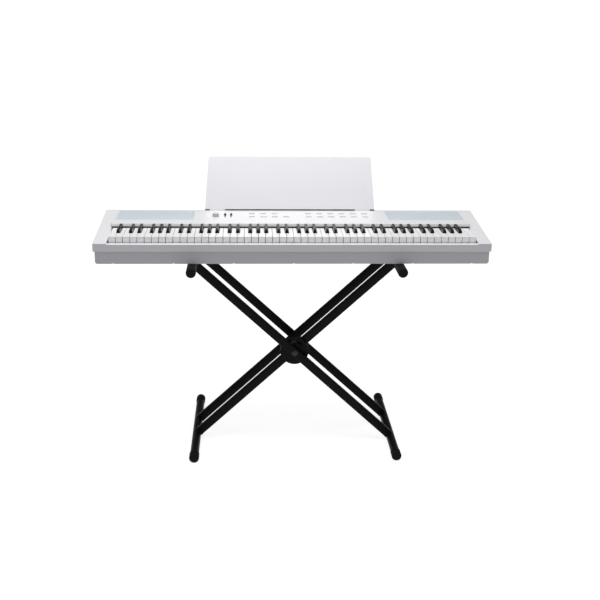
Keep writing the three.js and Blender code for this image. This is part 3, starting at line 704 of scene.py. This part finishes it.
# ---- Stand -----------------------------------------------------------------------------------
LEG_HEIGHT = 29.5 * MM
CROSS_RADIUS = 15.0 * MM
FOOT_AXIS = 16.6 * MM  # above the floor
BOLT_RADIUS = 5.0 * MM
SPACER_RADIUS = 9.0 * MM
GAP = 0.3 * MM  # between pieces that would touch
LOCK_GRIP_LENGTH = 20.0 * MM


def middle_of(name):
    low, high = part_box(name)
    return (low + high) / 2


def along_y(place):
    """Turns a lathe's own axis onto Y, through a point."""
    return Matrix.Translation(place) @ Matrix.Rotation(-math.pi / 2, 4, "X")


def make_leg(name, foot, arm):
    low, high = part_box(name)
    start, end = middle_of(foot), middle_of(arm)
    if foot.startswith("foot"):
        start.z = FOOT_AXIS
    start.y = end.y = (low.y + high.y) / 2
    direction = (end - start).normalized()
    across = Vector((0, 1, 0)).cross(direction)
    turn = Matrix((across, Vector((0, 1, 0)), direction)).transposed().to_4x4()
    bm = bmesh.new()
    outline = rounded_rectangle(LEG_HEIGHT, high.y - low.y, 4.5 * MM, 6)
    prism(bm, outline, 2 * MM, (end - start).length - 2 * MM, Matrix.Translation(start) @ turn)
    finish_piece(name + "_tube", bm, body_of[name], materials["frame_black"], [name])
    half = (high.y - low.y) / 2
    bead = 2.2 * MM
    for at, sign in ((start, 1), (end, -1)):
        bm = bmesh.new()
        centre = at + direction * sign * (CROSS_RADIUS + 0.2 * MM)
        ring = rounded_rectangle(LEG_HEIGHT + bead, 2 * half + bead, 5.5 * MM, 6)
        lower = rounded_rectangle(LEG_HEIGHT + 0.2 * bead, 2 * half + 0.2 * bead, 4.8 * MM, 6)
        levels = [(ring, -2.6 * MM), (ring, -0.4 * MM), (lower, 1.4 * MM)]
        if sign < 0:
            levels = [(outline, -z) for outline, z in reversed(levels)]
        place = Matrix.Translation(centre) @ turn
        loft(bm, [[place @ Vector((x, y, z)) for x, y in outline] for outline, z in levels])
        finish_piece(f"{name}_weld_{'low' if sign > 0 else 'high'}", bm, body_of[name],
                     materials["frame_black"])


def make_feet():
    cap_length = 44.0 * MM
    for name in ("foot_left", "foot_right"):
        low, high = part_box(name)
        middle = (low + high) / 2
        cap_radius = (high.x - low.x) / 2
        axis = Vector((middle.x, 0, FOOT_AXIS))
        half = (high.y - low.y) / 2
        bm = bmesh.new()
        inner = half - 6 * MM
        profile = [(0, -inner), (CROSS_RADIUS, -inner), (CROSS_RADIUS, inner), (0, inner)]
        lathe(bm, profile, 48, along_y(axis))
        finish_piece(name + "_tube", bm, body_of[name], materials["frame_black"], [name])
        for side, sign in (("front", -1), ("rear", 1)):
            bm = bmesh.new()
            start, r = half - cap_length, cap_radius
            profile = [
                (0, start), (CROSS_RADIUS + 0.4 * MM, start), (r - 1.4 * MM, start + 0.6 * MM),
                (r - 0.8 * MM, start + 2 * MM), (r - 0.8 * MM, start + 5 * MM), (r, start + 6.2 * MM),
            ]
            groove = start + 12 * MM
            for _ in range(3):
                profile += [(r, groove), (r - 0.7 * MM, groove + 0.6 * MM),
                            (r - 0.7 * MM, groove + 1.4 * MM), (r, groove + 2 * MM)]
                groove += 6 * MM
            edge = 7 * MM
            for k in range(9):
                angle = math.pi / 2 * k / 8
                profile.append((r - edge + edge * math.cos(angle), half - edge + edge * math.sin(angle)))
            profile.append((0, half))
            if sign < 0:
                profile = [(radius, -y) for radius, y in reversed(profile)]
            lathe(bm, profile, 64, along_y(axis))
            geometry = bm.verts[:] + bm.edges[:] + bm.faces[:]
            bmesh.ops.bisect_plane(bm, geom=geometry, plane_co=(0, 0, 0.02 * MM), plane_no=(0, 0, -1),
                                   clear_outer=True)
            bmesh.ops.holes_fill(bm, edges=[e for e in bm.edges if e.is_boundary])
            finish_piece(f"{name}_cap_{side}", bm, body_of[name], materials["rubber_black"])


def make_arm_pads():
    """Rubber sleeves on each arm, stopping short of the leg tubes so that the arm shows there."""
    for name, leg in (("arm_pad_left", "leg_outer"), ("arm_pad_right", "leg_inner")):
        low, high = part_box(name)
        radius = (high.x - low.x) / 2
        axis = Vector(((low.x + high.x) / 2, 0, (low.z + high.z) / 2))
        half = (high.y - low.y) / 2
        leg_low, leg_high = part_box(leg + "_rear")
        space = 1.2 * MM
        inner_edge, outer_edge = leg_low.y - space, leg_high.y + space
        bm = bmesh.new()
        soft = 1.2 * MM
        quarter = [math.pi / 2 * k / 6 for k in range(7)]
        spans = [(-inner_edge, inner_edge, 0), (outer_edge, half, 1), (-half, -outer_edge, -1)]
        for y0, y1, cap in spans:
            end0, end1 = (5 * MM if cap < 0 else soft), (5 * MM if cap > 0 else soft)
            profile = [(0, y0)]
            profile += [(radius - end0 * (1 - math.sin(a)), y0 + end0 * (1 - math.cos(a)))
                        for a in quarter]
            profile += [(radius - end1 * (1 - math.cos(a)), y1 - end1 * (1 - math.sin(a)))
                        for a in quarter]
            profile.append((0, y1))
            lathe(bm, profile, 64, along_y(axis))
        finish_piece(name + "_sleeve", bm, body_of[name], materials["rubber_black"],
                     [name])


def make_hub():
    low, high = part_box("hub_disc")
    middle = (low + high) / 2
    radius = (high.x - low.x) / 2
    pin = middle_of("lock_knob")
    orbit = math.hypot(pin.x - middle.x, pin.z - middle.z)
    start = math.atan2(pin.z - middle.z, pin.x - middle.x)
    sweep = 2 * math.radians(joint("stand_fold")["range_deg"][1])
    half_slot = 3.6 * MM
    bm = bmesh.new()

    def loop(points):
        made = [bm.verts.new((middle.x + x, low.y, middle.z + z)) for x, z in points]
        return [bm.edges.new((made[i], made[(i + 1) % len(made)])) for i in range(len(made))]

    def arc(cx, cz, r, a0, a1, steps):
        angles = [a0 + (a1 - a0) * k / steps for k in range(steps + 1)]
        return [(cx + r * math.cos(angle), cz + r * math.sin(angle)) for angle in angles]

    rim = arc(0, 0, radius, 0, 2 * math.pi, 96)[:-1]
    bolt = arc(0, 0, 5.6 * MM, 0, 2 * math.pi, 32)[:-1]
    end = start + sweep
    slot = arc(0, 0, orbit + half_slot, start, end, 28)
    slot += arc(orbit * math.cos(end), orbit * math.sin(end), half_slot, end, end + math.pi, 10)[1:-1]
    slot += arc(0, 0, orbit - half_slot, end, start, 28)
    slot += arc(orbit * math.cos(start), orbit * math.sin(start), half_slot, start + math.pi,
                start + 2 * math.pi, 10)[1:-1]
    edges = loop(rim) + loop(bolt) + loop(slot)
    bmesh.ops.triangle_fill(bm, use_beauty=True, use_dissolve=False, edges=edges)
    made = bmesh.ops.extrude_face_region(bm, geom=bm.faces[:])
    moved = [g for g in made["geom"] if isinstance(g, bmesh.types.BMVert)]
    bmesh.ops.translate(bm, verts=moved, vec=(0, high.y - low.y, 0))
    finish_piece("hub_plate", bm, "outer_legs", materials["frame_black"], ["hub_disc"],
                 bevel=(1.0 * MM, 3))


def make_pivot():
    low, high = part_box("pivot_bolt")
    middle = (low + high) / 2
    front_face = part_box("leg_outer_front")[0].y - GAP
    rear_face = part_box("leg_outer_rear")[1].y + GAP
    bm = bmesh.new()
    axis = Vector((middle.x, 0, middle.z))
    head, r = front_face - low.y, (high.x - low.x) / 2
    washer = 1.1 * MM
    profile = [
        (0, low.y), (r * 0.35, low.y), (r * 0.72, low.y + head * 0.22), (r * 0.9, low.y + head * 0.5),
        (r * 0.94, front_face - 1.2 * MM), (r, front_face - washer), (r, front_face),
        (BOLT_RADIUS, front_face),
    ]
    disc_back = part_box("hub_disc")[1].y + GAP
    inner_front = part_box("leg_inner_front")[0].y - GAP
    for a, b in ((disc_back, inner_front), (-inner_front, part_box("leg_outer_rear")[0].y - GAP)):
        profile += [(BOLT_RADIUS, a), (SPACER_RADIUS, a), (SPACER_RADIUS, b), (BOLT_RADIUS, b)]
    profile += [
        (BOLT_RADIUS, rear_face), (r, rear_face), (r, rear_face + washer), (0, rear_face + washer),
    ]
    lathe(bm, profile, 48, along_y(axis))
    finish_piece("pivot_bolt_shaft", bm, "outer_legs", materials["bolt_steel"],
                 ["pivot_bolt"])
    bm = bmesh.new()
    hexagon = [(8.6 * MM * math.cos(math.radians(60 * k)), 8.6 * MM * math.sin(math.radians(60 * k)))
               for k in range(6)]
    place = along_y(axis + Vector((0, rear_face + 1.0 * MM, 0)))
    prism(bm, hexagon, 0, high.y - rear_face - 1.0 * MM, place)
    finish_piece("pivot_nut", bm, "outer_legs", materials["bolt_steel"],
                 bevel=(0.5 * MM, 2))


def make_lock_knob():
    low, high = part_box("lock_knob")
    middle = (low + high) / 2
    r = (high.x - low.x) / 2
    start = high.y - LOCK_GRIP_LENGTH
    flutes = 16
    bm = bmesh.new()
    profile = [
        (0, low.y), (2.4 * MM, low.y), (3 * MM, low.y + 0.8 * MM), (3 * MM, start), (r * 0.72, start),
        (r * 0.72, start + 7 * MM), (r * 0.95, start + 9 * MM), (r, start + 10.5 * MM),
        (r, high.y - 3.2 * MM), (r * 0.94, high.y - 1.2 * MM), (r * 0.84, high.y - 0.3 * MM),
        (r * 0.7, high.y), (0, high.y - 0.6 * MM),
    ]
    lathe(bm, profile, flutes * 6)
    for vertex in bm.verts:
        run = math.hypot(vertex.co.x, vertex.co.y)
        if run > r * 0.85:
            angle = math.atan2(vertex.co.y, vertex.co.x)
            shrink = 1 - 0.05 * (0.5 - 0.5 * math.cos(angle * flutes))
            vertex.co.x *= shrink
            vertex.co.y *= shrink
    bmesh.ops.transform(bm, matrix=along_y(Vector((middle.x, 0, middle.z))), verts=bm.verts)
    finish_piece("lock_knob_grip", bm, "lock_pin", materials["rubber_black"],
                 ["lock_knob"])


# ---- Case details ----------------------------------------------------------------------------
FRONT_BELOW_KEYS = 20.3 * MM  # front of the cheeks, below the key tops
SLIP_DROP = 2.3 * MM
LIP = 1.7 * MM  # white edge left above the grey painted shade strip at the key slip
CHEEK_WIDTH = 45.0 * MM
NOTCH_PITCH = 199.0 * MM
NOTCHES_EACH_SIDE = 3
PAD_HALF_WIDTH = 4.3 * MM
REST_TAB_INNER = 236.0 * MM
REST_TAB_OUTER = 290.0 * MM
SCREW_PITCH = 180.0 * MM
CASE_FOOT_HEIGHT = 5.0 * MM
CONNECTOR_SIZE = (250.0 * MM, 34.0 * MM)
CONNECTOR_X = -300.0 * MM


def make_front_painted_shade():
    """Painted shade: a grey strip over the white front of the upper case, with a step up at each cheek."""
    low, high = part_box("top_case")
    edge = 0.7 * MM
    x, inner = high.x - edge, high.x - CHEEK_WIDTH
    bottom, top = low.z + edge, key_top - FRONT_BELOW_KEYS - edge
    slip = key_top - FRONT_BELOW_KEYS - SLIP_DROP - LIP
    outline = [(-x, bottom), (x, bottom), (x, top), (inner, top), (inner, slip), (-inner, slip),
               (-inner, top), (-x, top)]
    place = Matrix.Translation((0, low.y + 0.1 * MM, 0)) @ Matrix.Rotation(math.pi / 2, 4, "X")
    bm = bmesh.new()
    prism(bm, outline, 0, 0.7 * MM, place)
    finish_piece("front_painted_shade", bm, "piano", materials["front_shade_grey"], bevel=(0.3 * MM, 2))


def make_slip_lip():
    """The rounded white edge along the top of the key slip, reaching back towards the key fronts."""
    low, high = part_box("top_case")
    half = high.x - CHEEK_WIDTH - 0.4 * MM
    top = key_top - FRONT_BELOW_KEYS - SLIP_DROP + 0.4 * MM
    back = keys_low.y - low.y - 1.6 * MM
    section = [
        (0.0, top - 1.6 * MM), (0.15 * MM, top - 0.8 * MM), (0.5 * MM, top - 0.25 * MM), (1.2 * MM, top),
        (back - 0.8 * MM, top), (back - 0.2 * MM, top - 0.3 * MM), (back, top - 0.9 * MM),
        (back, top - 1.6 * MM),
    ]
    bm = bmesh.new()
    loft(bm, [[Vector((x, low.y + y, z)) for y, z in section] for x in (-half, half)])
    finish_piece("slip_lip", bm, "piano", materials["rest_plastic"])


def make_locating_pads():
    """Small white pads in the notches along the lower front edge."""
    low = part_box("bottom_case")[0]
    bm = bmesh.new()
    for i in range(-NOTCHES_EACH_SIDE, NOTCHES_EACH_SIDE + 1):
        x = i * NOTCH_PITCH
        block(bm, (x - PAD_HALF_WIDTH, low.y + 0.2 * MM, low.z),
              (x + PAD_HALF_WIDTH, low.y + 4 * MM, low.z + 2.4 * MM))
    finish_piece("locating_pads", bm, "piano", materials["rest_plastic"], bevel=(0.4 * MM, 2))


def make_rest_painted_shadow():
    """Painted shadow: a dark strip along the rest's lower edge, between and outside its two tabs, for the shade
    under that edge.
    """
    lean = Vector(joint("music_rest_lift")["axis"])
    out = Vector((0, -lean.z, lean.y))
    points = [v.co for v in nodes["music_rest"].data.vertices]
    half = max(p.x for p in points)
    outside = [p for p in points if abs(p.x) > half - 2 * MM]
    bottom = min(p.dot(lean) for p in outside)
    front = max(p.dot(out) for p in points)
    back = min(p.dot(out) for p in points)
    turn = Matrix((Vector((1, 0, 0)), -out, lean)).transposed().to_4x4()
    wrap = 0.3 * MM
    bm = bmesh.new()
    for x0, x1 in ((-half, -REST_TAB_OUTER), (-REST_TAB_INNER, REST_TAB_INNER), (REST_TAB_OUTER, half)):
        block(bm, (x0, -front - wrap, bottom - 0.3 * MM), (x1, -back + wrap, bottom + 2.8 * MM), turn)
    finish_piece("music_rest_painted_shadow", bm, "music_rest", materials["slider_dark"],
                 bevel=(0.25 * MM, 2))


def make_case_details():
    """Feet and screws under the case, and the connector plate on its rear wall."""
    low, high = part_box("bottom_case")
    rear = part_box("top_case")[1].y
    for side in (-1, 1):
        for end, y in (("front", low.y + 45 * MM), ("rear", high.y - 45 * MM)):
            bm = bmesh.new()
            profile = [(0, 0), (9 * MM, 0), (11.5 * MM, 1.2 * MM), (12 * MM, 3.6 * MM),
                       (12.6 * MM, CASE_FOOT_HEIGHT), (0, CASE_FOOT_HEIGHT)]
            place = Matrix.Translation((side * (high.x - 65 * MM), y, low.z - CASE_FOOT_HEIGHT))
            lathe(bm, profile, 40, place)
            finish_piece(f"case_foot_{end}_{'left' if side < 0 else 'right'}", bm, "piano",
                         materials["rubber_black"])
    bm = bmesh.new()
    head = 0.9 * MM
    profile = [(0, 0.5 * MM), (1.6 * MM, 0.5 * MM), (1.7 * MM, 0), (3.4 * MM, 0.1 * MM), (4 * MM, head),
               (0, head)]
    for i in range(-3, 4):
        for y in (low.y + 30 * MM, high.y - 30 * MM):
            lathe(bm, profile, 20, Matrix.Translation((i * SCREW_PITCH, y, low.z - head)))
    finish_piece("case_screws", bm, "piano", materials["bolt_steel"])
    plate_z = (high.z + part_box("top_case")[1].z) / 2 - 4 * MM
    place = Matrix.Translation((CONNECTOR_X, rear, plate_z)) @ Matrix.Rotation(math.pi / 2, 4, "X")
    place = place @ Matrix.Rotation(math.pi, 4, "Y")
    bm = bmesh.new()
    cushion_block(bm, *CONNECTOR_SIZE, 5 * MM, -0.4 * MM, 1.6 * MM, 0.8 * MM, place, 1)
    finish_piece("connector_plate", bm, "piano", materials["slider_dark"])
    bm = bmesh.new()
    jack = [(0, 0.6), (3.2, 0.6), (3.4, 2.4), (5.2, 2.4), (5.8, 1.8), (5.8, 0), (0, 0)]
    inlet = [(0, 0.8), (1.4, 0.8), (1.4, 1.4), (3.6, 1.2), (3.8, 2.2), (5.4, 2.2), (6, 1.6), (6, 0),
             (0, 0)]
    for profile, x in ((jack, -100), (jack, -72), (jack, -44), (inlet, 98)):
        lathe(bm, [(radius * MM, height * MM) for radius, height in profile], 32,
              place @ Matrix.Translation((x * MM, 0, 1.2 * MM)))
    finish_piece("connector_sockets", bm, "piano", materials["bolt_steel"])
    bm = bmesh.new()
    for x, width, height in ((-8, 13, 12), (28, 10, 7)):
        block(bm, ((x - width / 2) * MM, -height * MM / 2, 1.4 * MM),
              ((x + width / 2) * MM, height * MM / 2, 2.2 * MM), place)
    finish_piece("connector_ports", bm, "piano", materials["chassis_steel"],
                 bevel=(0.4 * MM, 2))


make_camera()
make_floor()
make_lights()
materials = {name: grained(name, **look) for name, look in LOOKS.items()}
for node_name in nodes:
    dress_node(node_name, materials)
for node_name in ("top_case", "bottom_case", "music_rest"):
    soften_node(node_name, SHELL_EDGE)
make_keys()
make_fallboard()
make_felt()
make_buttons()
make_volume_knob()
make_sliders()
make_grilles()
for node_name, foot_name, arm_name in (
    ("leg_outer_front", "foot_right", "arm_left"),
    ("leg_outer_rear", "foot_right", "arm_left"),
    ("leg_inner_front", "foot_left", "arm_right"),
    ("leg_inner_rear", "foot_left", "arm_right"),
):
    make_leg(node_name, foot_name, arm_name)
make_feet()
make_arm_pads()
make_hub()
make_pivot()
make_lock_knob()
make_case_details()
make_front_painted_shade()
make_slip_lip()
make_locating_pads()
make_rest_painted_shadow()
